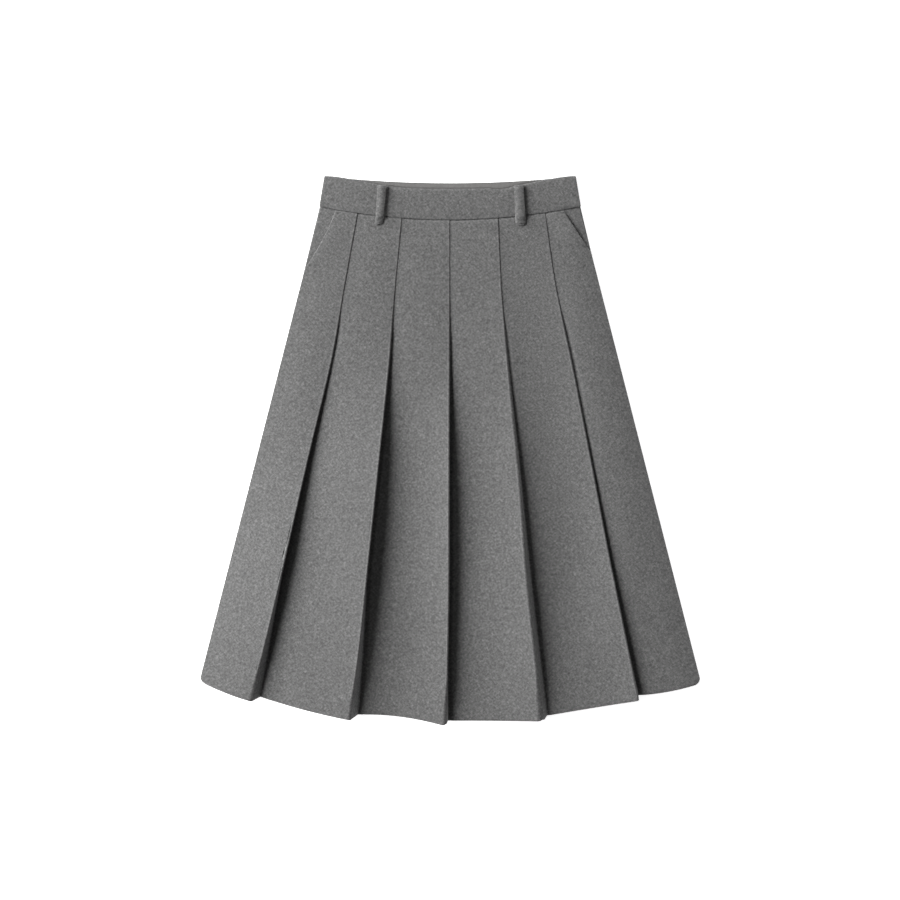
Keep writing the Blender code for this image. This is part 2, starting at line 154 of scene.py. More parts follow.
class Value:
    """One output of a node. An expression on values adds the Math nodes that work it out."""

    def __init__(self, nodes, socket):
        self.nodes = nodes
        self.socket = socket

    def math(self, operation, *others):
        terms = dict(enumerate((self, *others)))
        return self.nodes.add("ShaderNodeMath", {"operation": operation}, terms)

    def __add__(self, other):
        return self.math("ADD", other)

    def __sub__(self, other):
        return self.math("SUBTRACT", other)

    def __mul__(self, other):
        return self.math("MULTIPLY", other)


class Nodes:
    """The nodes of one tree."""

    def __init__(self, tree):
        self.tree = tree

    def add(self, kind, settings=None, sockets=None, output=0):
        """Adds a node of a kind, with its settings and the values or links of its sockets."""
        node = self.tree.nodes.new(kind)
        for name, value in (settings or {}).items():
            setattr(node, name, value)
        for name, value in (sockets or {}).items():
            self.feed(node.inputs[name], value)
        return Value(self, node.outputs[output])

    def feed(self, socket, value):
        if isinstance(value, Value):
            self.tree.links.new(value.socket, socket)
        else:
            socket.default_value = value


def new_material(name):
    """A material, its nodes and the sockets of its Principled shader."""
    material = bpy.data.materials.new(name)
    material.use_nodes = True
    tree = material.node_tree
    return material, Nodes(tree), tree.nodes["Principled BSDF"].inputs


def fleck(nodes, place, size, stretch=(1, 1, 1), turn=0.0, detail=FLECK_DETAIL):
    """Noise from 0 to 1 whose grains have a size, and are stretched and then turned about Z."""
    mapping = {"Vector": place, "Rotation": (0, 0, turn), "Scale": stretch}
    scaled = nodes.add("ShaderNodeMapping", {"vector_type": "TEXTURE"}, mapping)
    grain = {"Vector": scaled, "Scale": 1 / size, "Detail": detail, "Roughness": NOISE_ROUGHNESS}
    return nodes.add("ShaderNodeTexNoise", None, grain)


def colour(nodes, red, green, blue):
    return nodes.add("ShaderNodeCombineColor", None, {"Red": red, "Green": green, "Blue": blue})


def make_flannel(name, grey, warmth, fleck_depth=1.0):
    material, nodes, shader = new_material(name)
    place = nodes.add("ShaderNodeTexCoord", output="Object")
    grains = fleck(nodes, place, FLECK_SIZE)
    hair_stretch = (HAIR_WIDTH / FLECK_SIZE, HAIR_LENGTH / FLECK_SIZE, HAIR_WIDTH / FLECK_SIZE)
    left_hairs = fleck(nodes, place, FLECK_SIZE, hair_stretch, LEFT_HAIR_TURN)
    right_hairs = fleck(nodes, place, FLECK_SIZE, hair_stretch, RIGHT_HAIR_TURN)
    clouds = fleck(nodes, place, CLOUD_SIZE, detail=CLOUD_DETAIL)
    across = nodes.add("ShaderNodeSeparateXYZ", None, {"Vector": place}, "X")
    along = nodes.add("ShaderNodeSeparateXYZ", None, {"Vector": place}, "Y")
    twill = ((across + along) * (2 * math.pi / TWILL_PITCH)).math("SINE")
    depth = (
        (grains - 0.5) * (FLECK_CONTRAST * fleck_depth)
        + (left_hairs - 0.5) * (HAIR_CONTRAST * fleck_depth)
        + (right_hairs - 0.5) * (HAIR_CONTRAST * fleck_depth)
        + (clouds - 0.5) * CLOUD_CONTRAST
        + twill * TWILL_CONTRAST
    )
    tone = depth.math("EXPONENT") * grey
    warm = colour(nodes, tone * (1 + warmth), tone, tone * (1 - warmth))
    nodes.feed(shader["Base Color"], warm)
    relief = (
        grains * FLECK_RELIEF
        + left_hairs * HAIR_RELIEF
        + right_hairs * HAIR_RELIEF
        + twill * TWILL_RELIEF
    )
    nap = {"Height": relief, "Distance": NAP_RELIEF, "Strength": NAP_STRENGTH}
    nodes.feed(shader["Normal"], nodes.add("ShaderNodeBump", None, nap))
    nodes.feed(shader["Roughness"], (grains - 0.5) * WOOL_ROUGHNESS_RANGE + WOOL_ROUGHNESS)
    nodes.feed(shader["Sheen Weight"], WOOL_SHEEN)
    nodes.feed(shader["Sheen Roughness"], SHEEN_ROUGHNESS)
    nodes.feed(shader["Specular IOR Level"], WOOL_SPECULAR)
    return material


flannel = make_flannel("grey_wool_flannel", WOOL_GREY, WOOL_WARMTH)

# The front of the skirt is six gores of flannel, wider towards the hem. Each one's right edge is
# pressed to a fold that is sewn down for the first hand's width and then stands up, with its return
# running down into the crease where the next gore begins. All sizes are in millimetres.
MM = 0.001
BAND_CORNER_Y = 362.3
SHIFT_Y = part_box("waistband_back")[1].y / MM - BAND_CORNER_Y  # the frame's Y less this file's
WALL = 0.9
CLEARANCE = 0.05  # between two cloths that lie on each other
HALF_WAIST = 170.8
SEAM_SIDE_Y = 322.7
FRONT_DIP = 17.6  # by which the waist seam is lower in the middle than at the sides
HALF_HEM = 330.6
LEFT_HEM_Y = -303.3
RIGHT_HEM_Y = -306.0
CORNER_RADIUS = 9.0  # of the hem's two outer corners
CORNER_LENGTH = 0.03  # share of the skirt's length in which they round off
FRONT_LEVEL = 5.0
BACK_LEVEL = WALL / 2
SIDE_RADIUS = 0.6  # of the pressed edge where front and back meet
# by which the front comes down to the back at the sides
SIDE_DROP = FRONT_LEVEL - BACK_LEVEL - 2 * SIDE_RADIUS - CLEARANCE
SIDE_DROP_WIDTH = 90.0
SIDE_DROP_POWER = 1.6
# At each station, a share of the way from waist seam to hem, a fold has its x, the base over
# FRONT_LEVEL at which the next gore starts, its rise over that base, and its crease's shift from x.
# edge is its radius where it is open, and hem_edge the same at the hem. hem_y and crease_y are
# where it and its crease meet the hem, which turns up by hem_corner close beside the fold.
STATIONS = (0.0, 0.15, 0.3, 0.5, 0.7, 0.85, 1.0)
Fold = namedtuple("Fold", "hem_y crease_y edge hem_edge hem_corner x rise shift base")
FOLDS = (
    Fold(
        hem_y=-328.0,
        crease_y=-323.4,
        edge=0.9,
        hem_edge=6.0,
        hem_corner=0.0,
        x=(-121.9, -139.1, -155.8, -185.6, -214.6, -237.5, -261.8),
        rise=(0.8, 1.0, 2.0, 9.0, 17.0, 16.6, 10.6),
        shift=(0.3, 0.3, 0.0, -2.0, -1.0, 4.0, 11.3),
        base=(0.0, 0.0, 0.0, 0.0, 0.0, 0.0, 0.0),
    ),
    Fold(
        hem_y=-351.8,
        crease_y=-346.2,
        edge=0.9,
        hem_edge=4.5,
        hem_corner=0.0,
        x=(-63.8, -73.1, -80.9, -93.8, -107.6, -118.3, -131.7),
        rise=(0.8, 1.0, 4.8, 19.5, 23.0, 20.5, 14.5),
        shift=(0.3, 0.3, 0.0, -2.0, -1.5, 4.0, 10.4),
        base=(0.0, 0.0, 0.0, 0.5, 1.5, 3.5, 3.5),
    ),
    Fold(
        hem_y=-360.2,
        crease_y=-354.4,
        edge=1.4,
        hem_edge=4.5,
        hem_corner=3.0,
        x=(-0.7, -0.7, -0.7, -0.7, -0.9, -2.2, -5.0),
        rise=(0.8, 1.0, 4.4, 15.6, 17.8, 15.9, 13.5),
        shift=(0.3, 0.3, 0.0, -2.0, -2.0, -2.0, 2.2),
        base=(0.0, 0.0, 0.0, 1.0, 2.0, 2.0, 1.5),
    ),
    Fold(
        hem_y=-353.8,
        crease_y=-347.4,
        edge=3.0,
        hem_edge=9.0,
        hem_corner=2.0,
        x=(63.2, 67.8, 77.1, 90.7, 100.0, 110.1, 121.0),
        rise=(0.8, 1.2, 2.8, 9.2, 15.6, 16.6, 13.0),
        shift=(0.3, 0.3, 0.0, 0.5, 4.5, 5.5, 6.9),
        base=(0.0, 0.6, 2.2, 3.4, 3.4, 3.2, 2.5),
    ),
    Fold(
        hem_y=-327.2,
        crease_y=-321.0,
        edge=1.2,
        hem_edge=1.6,
        hem_corner=0.6,
        x=(125.0, 139.0, 159.3, 184.7, 208.9, 228.2, 247.7),
        rise=(0.8, 1.0, 1.6, 3.1, 6.6, 9.4, 10.8),
        shift=(0.3, 0.3, 0.0, -1.0, -1.6, -1.8, 0.2),
        base=(0.0, 0.0, 0.3, 1.2, 1.5, 1.5, 1.2),
    ),
)
FOLD_RADIUS = 0.9  # of a fold where its pleat is sewn down
FOLD_START = 0.88  # share of the gore's width whose height gives the slope into the fold
HEM_SOFT_START = 0.9  # share of the length from which the fold grows softer towards its hem_edge
HEM_CORNER_WIDTH = 6.0  # over which the hem rises by hem_corner to the fold
CREASE_RADIUS = 1.2
CREASE_FLAT = 1.6  # what lies flat past the crease, where the pleat is open
SEWN_FLAT = 0.62  # the same where it is sewn down
GROOVE_DEPTH = 0.27  # of the sewn-down line beside each fold
GROOVE_EDGE = 0.6  # width over which the next gore dips into it
OPEN_GROOVE_DEPTH = 1.4  # the same where the pleat is open
OPEN_GROOVE_EDGE = 6.0
GROOVE_END = 0.19  # share of the length where the pleats come open
GROOVE_END_LENGTH = 0.06  # share of it in which they do so
FOLD_RIDGE = 0.35  # by which the cloth turns up along a fold that is open
SEWN_RIDGE_SHARE = 0.4  # share of it along a fold that is sewn down
FOLD_RIDGE_WIDTH = 3.0
# A gore's hollow is how late its surface starts to rise towards its fold, its hem_bow how far its
# hem is out of straight, and its bulge, at its own stations, how far its middle swells.
BULGE_STATIONS = (0.0, 0.25, 0.6, 1.0)
Gore = namedtuple("Gore", "hollow hem_bow bulge")
GORES = (
    Gore(0.2, 1.8, (0.2, 1.0, 1.4, 1.2)),
    Gore(0.0, 2.0, (0.2, 0.8, 0.5, 0.5)),
    Gore(0.8, -4.0, (0.2, 1.4, -0.6, -2.6)),
    Gore(0.6, 0.0, (0.2, 0.3, -0.2, -1.0)),
    Gore(0.8, 0.0, (0.2, -2.2, -4.2, -2.0)),
    Gore(0.0, 2.4, (0.2, 2.0, 2.6, 2.0)),
)
ROWS = 150
FACE_POINTS = 56
FOLD_STEPS = 9
CREASE_STEPS = 6
SIDE_STEPS = 6
SIDE_INSETS = (0.8, 1.8, 3.0, 4.5, 6.5, 8.5, 11.0)  # of extra points beside a side edge
RIDGE_PARTS = (0.2, 0.4, 0.6, 0.8)  # of extra points in the width of a ridge
DIP_PARTS = (0.2, 0.4, 0.6, 0.8, 1.0)  # and of a dip into a groove
SEAM_ROWS = [0.0, 0.0008, 0.0016, 0.0024, 0.0032, 0.0045]  # extra rows at the waist seam
SEAM_DIP = 1.9  # the gores' top edges go down into the waist seam
SEAM_DIP_WIDTH = 4.0
WAVE_LENGTH = 120.0  # of the slow unevenness of the laid-out cloth
WAVE_WIDTH = 55.0
WAVE_RISE = 1.1
WAVE_WAIST_SHARE = 0.25  # of the rise that the waves have near the waist
WAVE_START = 0.1  # share of the length in which they begin
WAVE_FADE = 30.0  # from the sides, where the cloth lies still
WAVE_SEED = 3.7
Pocket = namedtuple("Pocket", "side seam_x end_y bow gape")
POCKETS = (
    Pocket(side=-1, seam_x=150.5, end_y=240.0, bow=3.5, gape=0.5),
    Pocket(side=1, seam_x=149.7, end_y=264.0, bow=1.4, gape=2.2),
)
POCKET_RAISE = 0.9
MOUTH_RADIUS = 0.8  # of the mouth's turned-in edge
POCKET_FADE = 35.0
WRAP_LENGTH = 14.0  # below the mouth's end, over which the edge becomes the side seam
ARC_ROOM = 0.48  # share of the shorter side of a corner that its arc may take


def clamp(value, low=0.0, high=1.0):
    return min(high, max(low, value))


def ease(value):
    value = clamp(value)
    return value * value * (3 - 2 * value)


def mix(a, b, share):
    return a + (b - a) * share


def shares(count):
    return [i / (count - 1) for i in range(count)]


def curve_at(stations, values, t):
    """The height at t of a smooth curve through the values at the stations."""
    last = len(stations) - 1
    i = max(0, min(last - 1, sum(t >= s for s in stations) - 1))
    step = stations[i + 1] - stations[i]

    def slope(k):
        a, b = max(0, k - 1), min(last, k + 1)
        return step * (values[b] - values[a]) / (stations[b] - stations[a])

    u = (t - stations[i]) / step
    rest = 1 - u
    near = (1 + 2 * u) * values[i] + u * slope(i)
    far = (1 + 2 * rest) * values[i + 1] - rest * slope(i + 1)
    return rest * rest * near + u * u * far


def seam_y(x, dip=FRONT_DIP):
    """The waist seam's place along the skirt."""
    return SEAM_SIDE_Y - dip * (1 - clamp(abs(x) / HALF_WAIST) ** 2)


def side_x(y):
    """How far the side of the skirt is from the middle."""
    return mix(HALF_WAIST, HALF_HEM, (SEAM_SIDE_Y - y) / (SEAM_SIDE_Y - LEFT_HEM_Y))


def round_corner(x, y, inset, t):
    """A hem point's place once the corner is round, moved up along the side's line.

    inset is how far it is from the side.
    """
    if inset >= CORNER_RADIUS:
        return x, y
    rise = CORNER_RADIUS - math.sqrt(CORNER_RADIUS**2 - (CORNER_RADIUS - max(0.0, inset)) ** 2)
    rise *= clamp(1 - (1 - t) / CORNER_LENGTH)
    return x - math.copysign(side_x(y) - side_x(y + rise), x), y + rise


def waves(x, y, t):
    """The slow unevenness of laid-out cloth."""
    amount = WAVE_RISE * (WAVE_WAIST_SHARE + (1 - WAVE_WAIST_SHARE) * t) * ease(t / WAVE_START)
    amount *= ease((side_x(y) - abs(x)) / WAVE_FADE)
    return amount * noise.noise(Vector((x / WAVE_WIDTH, y / WAVE_LENGTH, WAVE_SEED)))


def rounded(before, corner, after, radius, steps):
    """Points of an arc that rounds a corner. A point is a complex number, x and height."""
    inward = (corner - before) / abs(corner - before)
    outward = (after - corner) / abs(after - corner)
    turn = cmath.phase(outward / inward)
    half = max(abs(turn) / 2, 0.001)
    room = ARC_ROOM * min(abs(corner - before), abs(after - corner))
    length = min(radius * math.tan(half), room)
    start = corner - inward * length
    centre = start + inward * (1j if turn > 0 else -1j) * length / math.tan(half)
    return [centre + (start - centre) * cmath.exp(1j * turn * k / steps) for k in range(steps + 1)]


def side_arc(edge, side, level, radius, down=-1):
    """Points from a flat sheet a quarter turn round its side edge."""
    start = complex(edge - side * (radius + WALL / 2), level)
    points = []
    for k in range(1, SIDE_STEPS + 1):
        bend = math.pi / 2 * k / SIDE_STEPS
        points.append(start + radius * complex(side * math.sin(bend), down * (1 - math.cos(bend))))
    return start, points


Spot = namedtuple("Spot", "x z share inset")


def pocket_mouth(pocket, y):
    """Distance of a pocket's mouth from the middle, and the share of its length at y."""
    top = seam_y(pocket.seam_x)
    share = clamp((top - y) / (top - pocket.end_y))
    straight = mix(pocket.seam_x, side_x(pocket.end_y), share)
    return straight - pocket.bow * 4 * share * (1 - share), share


def near_side(inset):
    """1 at the side and 0 from SIDE_DROP_WIDTH inwards."""
    return (1 - clamp(inset / SIDE_DROP_WIDTH)) ** SIDE_DROP_POWER


def side_drop(x, y):
    """How far the front comes down towards the back, near the side."""
    return SIDE_DROP * near_side(side_x(y) - abs(x))


Rim = namedtuple("Rim", "x radius lift")


def outer_edge(pocket, t):
    """An outer gore's edge at row t, which is the pocket's mouth and then the side seam."""
    hem_y = LEFT_HEM_Y if pocket.side < 0 else RIGHT_HEM_Y
    y = mix(seam_y(pocket.seam_x), hem_y, t)
    if y > pocket.end_y:
        x, share = pocket_mouth(pocket, y)
        lift = POCKET_RAISE + pocket.gape * math.sin(math.pi * share) ** 2
        return Rim(pocket.side * x, MOUTH_RADIUS, lift)
    below = ease((pocket.end_y - y) / WRAP_LENGTH)
    radius = mix(MOUTH_RADIUS, SIDE_RADIUS, below)
    return Rim(pocket.side * side_x(y), radius, POCKET_RAISE * (1 - below))


def sewn(t):
    """1 where the pleats are sewn down, 0 where they are open."""
    return 1 - ease((t - GROOVE_END) / GROOVE_END_LENGTH)


def crease_end(fold, t):
    """Where the cloth ends that runs from a fold down into its crease."""
    flat = mix(CREASE_FLAT, SEWN_FLAT, sewn(t))
    return curve_at(STATIONS, fold.x, t) + curve_at(STATIONS, fold.shift, t) + flat


def gore_section(index, t):
    """Points across front gore number index, at row t."""
    gore, last = GORES[index], len(GORES) - 1
    bulge = curve_at(BULGE_STATIONS, gore.bulge, t)
    dip = mix(OPEN_GROOVE_DEPTH, GROOVE_DEPTH, sewn(t))
    dip_edge = mix(OPEN_GROOVE_EDGE, GROOVE_EDGE, sewn(t))
    soft = ease((t - HEM_SOFT_START) / (1 - HEM_SOFT_START))
    ridge = FOLD_RIDGE * mix(1.0 - soft, SEWN_RIDGE_SHARE, sewn(t))
    low_left, high_right = 0.0, 0.0
    rim = None
    before, after = [], []
    if index in (0, last):
        side = -1 if index == 0 else 1
        rim = outer_edge(POCKETS[0 if index == 0 else 1], t)
        anchor, arc = side_arc(rim.x, side, FRONT_LEVEL + rim.lift, rim.radius)
        arc = [Spot(p.real, p.imag, max(0, side), abs(rim.x - p.real)) for p in arc]
    if index == 0:
        before = list(reversed(arc))
        left = anchor.real
    else:
        left = crease_end(FOLDS[index - 1], t) + CLEARANCE
        low_left = curve_at(STATIONS, FOLDS[index - 1].base, t)
    if index == last:
        after = arc
        right = anchor.real
    else:
        fold = FOLDS[index]
        right = curve_at(STATIONS, fold.x, t)
        base = curve_at(STATIONS, fold.base, t)
        low = complex(right + curve_at(STATIONS, fold.shift, t), FRONT_LEVEL + base - dip)
        high_right = base + curve_at(STATIONS, fold.rise, t)

    def face_point(share):
        x = mix(left, right, share)
        z = FRONT_LEVEL + mix(low_left, high_right, mix(share, share * share, gore.hollow))
        z += 4 * bulge * share * (1 - share)
        if index > 0:
            z -= dip * (1 - ease((x - left) / dip_edge))
        if index < last:
            z += ridge * ease(1 - (right - x) / FOLD_RIDGE_WIDTH)
        if rim:
            z += rim.lift * (1 - ease(abs(x - rim.x) / POCKET_FADE))
        return complex(x, z)

    face_end = 1.0
    if index < last:
        top = face_point(1.0)
        end = complex(crease_end(fold, t), low.imag)
        edge = mix(mix(fold.edge, fold.hem_edge, soft), FOLD_RADIUS, sewn(t))
        turned = rounded(face_point(FOLD_START), top, low, edge, FOLD_STEPS)
        creased = rounded(top, low, end, CREASE_RADIUS, CREASE_STEPS)
        face_end = (turned[0].real - left) / (right - left)
        drop = max(0.001, turned[-1].imag - low.imag)
        for p in turned:
            share = min(1.0, (p.real - left) / (right - left))
            after.append(Spot(p.real, p.imag, share, CORNER_RADIUS))
        for p in creased + [end]:
            share = 2 - clamp((p.imag - low.imag) / drop)
            after.append(Spot(p.real, p.imag, share, CORNER_RADIUS))
    face_shares = [share * face_end for share in shares(FACE_POINTS)]
    width = right - left
    if index == last:
        face_shares += [1 - inset / width for inset in SIDE_INSETS]
    else:
        face_shares.pop()
        face_shares += [face_end - FOLD_RIDGE_WIDTH * part / width for part in RIDGE_PARTS]
    if index == 0:
        face_shares += [inset / width for inset in SIDE_INSETS]
    else:
        face_shares += [dip_edge * part / width for part in DIP_PARTS]
    face = []
    for share in sorted(face_shares):
        p = face_point(share)
        face.append(Spot(p.real, p.imag, share, abs(p.real - rim.x) if rim else CORNER_RADIUS))
    return before + face + after


def gore_hem_y(index, share):
    """The hem's place at a share of a front gore's width.

    From 1 to 2 the share runs from the fold down into its crease.
    """
    last = len(GORES) - 1
    left_y = LEFT_HEM_Y if index == 0 else FOLDS[index - 1].crease_y
    right_y = RIGHT_HEM_Y if index == last else FOLDS[index].hem_y
    corner = 0.0
    if index < last:
        width = FOLDS[index].x[-1] - (-HALF_HEM if index == 0 else FOLDS[index - 1].x[-1])
        corner = FOLDS[index].hem_corner * clamp(1 - (1 - share) * width / HEM_CORNER_WIDTH) ** 2
    if share > 1:
        return mix(right_y + corner, FOLDS[index].crease_y, share - 1)
    return mix(left_y, right_y, share) - GORES[index].hem_bow * 4 * share * (1 - share) + corner


def gore_grid(index):
    """Rows of points of front gore number index, from the waist seam to the hem."""
    seam_ys = [seam_y(p.x) for p in gore_section(index, 0.0)]
    rows = []
    for t in SEAM_ROWS + shares(ROWS)[1:]:
        row = []
        for spot, top_y in zip(gore_section(index, t), seam_ys):
            x, y = round_corner(spot.x, mix(top_y, gore_hem_y(index, spot.share), t), spot.inset, t)
            dip = SEAM_DIP * (1 - ease((top_y - y) / SEAM_DIP_WIDTH)) + side_drop(x, y)
            row.append((x, y, spot.z + waves(x, y, t) - dip))
        rows.append(row)
    return rows


def make_cloth(name, grid, wall, material, node):
    """A thin shell on the middle surface given by rows of points, which replaces a CAD node."""
    mesh = bpy.data.meshes.new(name)
    width = len(grid[0])
    points = [(x * MM, (y + SHIFT_Y) * MM, z * MM) for row in grid for x, y, z in row]
    faces = []
    for r in range(len(grid) - 1):
        for c in range(width - 1):
            a = r * width + c
            faces.append((a, a + width, a + width + 1, a + 1))
    mesh.from_pydata(points, [], faces)
    mesh.update()
    if sum(face.normal.z * face.area for face in mesh.polygons) < 0:
        mesh.flip_normals()
    mesh.polygons.foreach_set("use_smooth", [True] * len(mesh.polygons))
    mesh.materials.append(material)
    cloth = bpy.data.objects.new(name, mesh)
    scene.collection.objects.link(cloth)
    solid = cloth.modifiers.new("Wall", "SOLIDIFY")
    solid.thickness = wall * MM
    solid.offset = 0.0
    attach(cloth, "root")
    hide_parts(node)
    return cloth


FULL_AREA = 0.999  # a sheet's area is at most this share of width times length


def declare_sheet(grid, rests_on):
    """Works out the width, length and area that a piece's cut has on the table, and keeps none of
    them.
    """

    def run(points):
        return sum(math.dist(a, b) for a, b in zip(points, points[1:]))

    widths = [run(row) for row in grid]
    steps = [math.dist(a[len(a) // 2], b[len(b) // 2]) for a, b in zip(grid, grid[1:])]
    width, length = max(widths), sum(steps)
    area = sum((a + b) / 2 * step for a, b, step in zip(widths, widths[1:], steps))
    area = min(area, FULL_AREA * width * length)
    area * MM * MM


HEM_TURN = 34.0  # depth of the hem that is turned up inside
HEM_RADIUS = 0.5
HEM_STEPS = 5
HEM_ROWS = (0.05, 0.3, 0.65, 1.0)


def turned_hem(grid, inward):
    """Rows that go round the hem's edge and back up on the inside of the cloth.

    inward is 1 for the front, whose inside is below, and -1 for the back.
    """
    above = [Vector(p) for p in grid[-3]]
    edge = [Vector(p) for p in grid[-1]]
    outs, normals = [], []
    for c, p in enumerate(edge):
        out = (p - above[c]).normalized()
        across = edge[min(c + 1, len(edge) - 1)] - edge[max(c - 1, 0)]
        outs.append(out)
        normals.append(across.cross(out).normalized() * inward)
    rows = []
    for k in range(1, HEM_STEPS + 1):
        bend = math.pi * k / HEM_STEPS
        ahead, inside = HEM_RADIUS * math.sin(bend), HEM_RADIUS * (1 - math.cos(bend))
        rows.append([tuple(p + out * ahead + n * inside) for p, out, n in zip(edge, outs, normals)])
    for share in HEM_ROWS:
        depth = HEM_TURN * share
        row = [p - out * depth + n * 2 * HEM_RADIUS for p, out, n in zip(edge, outs, normals)]
        rows.append([tuple(p) for p in row])
    return rows


front_grids = []
for index in range(len(GORES)):
    node = f"front_gore_{index + 1}"
    grid = gore_grid(index)
    front_grids.append(list(grid))
    grid += turned_hem(grid, 1)
    gore_cloth = make_cloth(node + "_cloth", grid, WALL, flannel, node)
    declare_sheet(grid, [f"back_gore_{6 - index}"])

# The back is six gores like the front's. It lies on the table with its pleats pressed flat: each
# fold is a gore's left edge, and the edge of the gore before it is tucked in on top of that.
BACK_DIP = 10.2
BACK_FOLDS = 5
BACK_WAIST_PITCH = 63.0
BACK_HEM_PITCH = 126.0
BACK_WAIST_UNDERLAP = 6.0
BACK_HEM_UNDERLAP = 18.0
BACK_RAMP = 8.0  # width in which a gore's edge rises to lie on the next gore
BACK_RAMP_GAP = 0.2  # from the end of its rise to the fold
BACK_LAYER_GAP = 0.15
BACK_SIDE_HEM_Y = -304.5
BACK_HEM_DIP = 44.0
BACK_HEM_POWER = 1.5
BACK_ROWS = 60
BACK_POINTS = 24
RAMP_POINTS = 8


def back_hem_y(x):
    return BACK_SIDE_HEM_Y - BACK_HEM_DIP * (1 - clamp(abs(x) / HALF_HEM) ** BACK_HEM_POWER)


def back_fold_x(number, t):
    return (number - (BACK_FOLDS - 1) / 2) * mix(BACK_WAIST_PITCH, BACK_HEM_PITCH, t)


def back_section(index, t):
    """Points across back gore number index, at row t."""
    edge = side_x(mix(SEAM_SIDE_Y, BACK_SIDE_HEM_Y, t))
    before, after = [], []
    if index == 0:
        anchor, arc = side_arc(-edge, -1, BACK_LEVEL, SIDE_RADIUS, down=1)
        before = [Spot(p.real, p.imag, 0.0, p.real + edge) for p in reversed(arc)]
        left = anchor.real
    else:
        left = back_fold_x(index - 1, t)
    if index == BACK_FOLDS:
        anchor, arc = side_arc(edge, 1, BACK_LEVEL, SIDE_RADIUS, down=1)
        after = [Spot(p.real, p.imag, 1.0, edge - p.real) for p in arc]
        right = anchor.real
    else:
        fold_x = back_fold_x(index, t)
        right = fold_x - BACK_RAMP_GAP - BACK_RAMP
        rise = WALL + BACK_LAYER_GAP
        for share in shares(RAMP_POINTS)[1:]:
            z = BACK_LEVEL + ease(share) * rise
            after.append(Spot(right + BACK_RAMP * share, z, 1.0, CORNER_RADIUS))
        under = mix(BACK_WAIST_UNDERLAP, BACK_HEM_UNDERLAP, t)
        after.append(Spot(fold_x + under / 2, BACK_LEVEL + rise, 1.0, CORNER_RADIUS))
        after.append(Spot(fold_x + under, BACK_LEVEL + rise, 1.0, CORNER_RADIUS))
    face_shares = shares(BACK_POINTS)
    if index == 0:
        face_shares += [inset / (right - left) for inset in SIDE_INSETS]
    if index == BACK_FOLDS:
        face_shares += [1 - inset / (right - left) for inset in SIDE_INSETS]
    face = []
    for share in sorted(face_shares):
        x = mix(left, right, share)
        face.append(Spot(x, BACK_LEVEL, share, edge - abs(x)))
    return before + face + after


for index in range(BACK_FOLDS + 1):
    seam_ys = [seam_y(spot.x, BACK_DIP) for spot in back_section(index, 0.0)]
    grid = []
    for t in shares(BACK_ROWS):
        row = []
        for spot, top_y in zip(back_section(index, t), seam_ys):
            y = mix(top_y, back_hem_y(spot.x), t)
            row.append((*round_corner(spot.x, y, spot.inset, t), spot.z))
        grid.append(row)
    grid += turned_hem(grid, -1)
    node = f"back_gore_{index + 1}"
    back_cloth = make_cloth(node + "_cloth", grid, WALL, flannel, node)
    declare_sheet(grid, ["floor"])

# The waistband is a straight strip of the flannel over a stiffener, folded along its top edge, in
# a front half and a back half. It is sewn over the top of the gores and stands a little proud.
BAND_WALL = 2.0
BAND_EDGE = 0.8  # radius of its rounded edges
HALF_BAND_TOP = 166.0
HALF_BAND_SEAM = 172.6
FRONT_TOP_DIP = 17.3
FRONT_TOP_POWER = 1.68
FRONT_SAG = 2.6  # by which the front's top edge sinks beside the right loop
FRONT_SAG_X = 70.0
FRONT_SAG_WIDTH = 26.0
BACK_TOP_DIP = 9.0
FRONT_BAND_LEVEL = 4.9
BACK_BAND_LEVEL = BAND_WALL / 2
BAND_ROWS = 22
BAND_CROWDING = 0.8  # how much closer its rows are at its two edges
BAND_POINTS = 120
BAND_SEAM_GAP = 0.05
BAND_SIDE_RADIUS = 0.5
BAND_PUFF = 0.9  # how far the band's middle swells over its edges
BAND_PUFF_POWER = 0.5
BAND_RIPPLE = 0.35
BAND_RIPPLE_LENGTH = 34
BAND_RIPPLE_HEIGHT = 26
BAND_RIPPLE_SEED = 9.1
BAND_LIP = 0.6  # by which the band's top edge rolls down
BAND_LIP_HEIGHT = 1.6
EDGE_SEGMENTS = 3
EDGE_ANGLE = math.radians(50)  # from which an edge is rounded


def front_top_y(x):
    dip = FRONT_TOP_DIP * ease(1 - clamp(abs(x) / HALF_BAND_TOP) ** FRONT_TOP_POWER)
    return BAND_CORNER_Y - dip - FRONT_SAG * ease(1 - abs(x - FRONT_SAG_X) / FRONT_SAG_WIDTH)


def back_top_y(x):
    return BAND_CORNER_Y - BACK_TOP_DIP * (1 - clamp(abs(x) / HALF_BAND_TOP) ** 2)


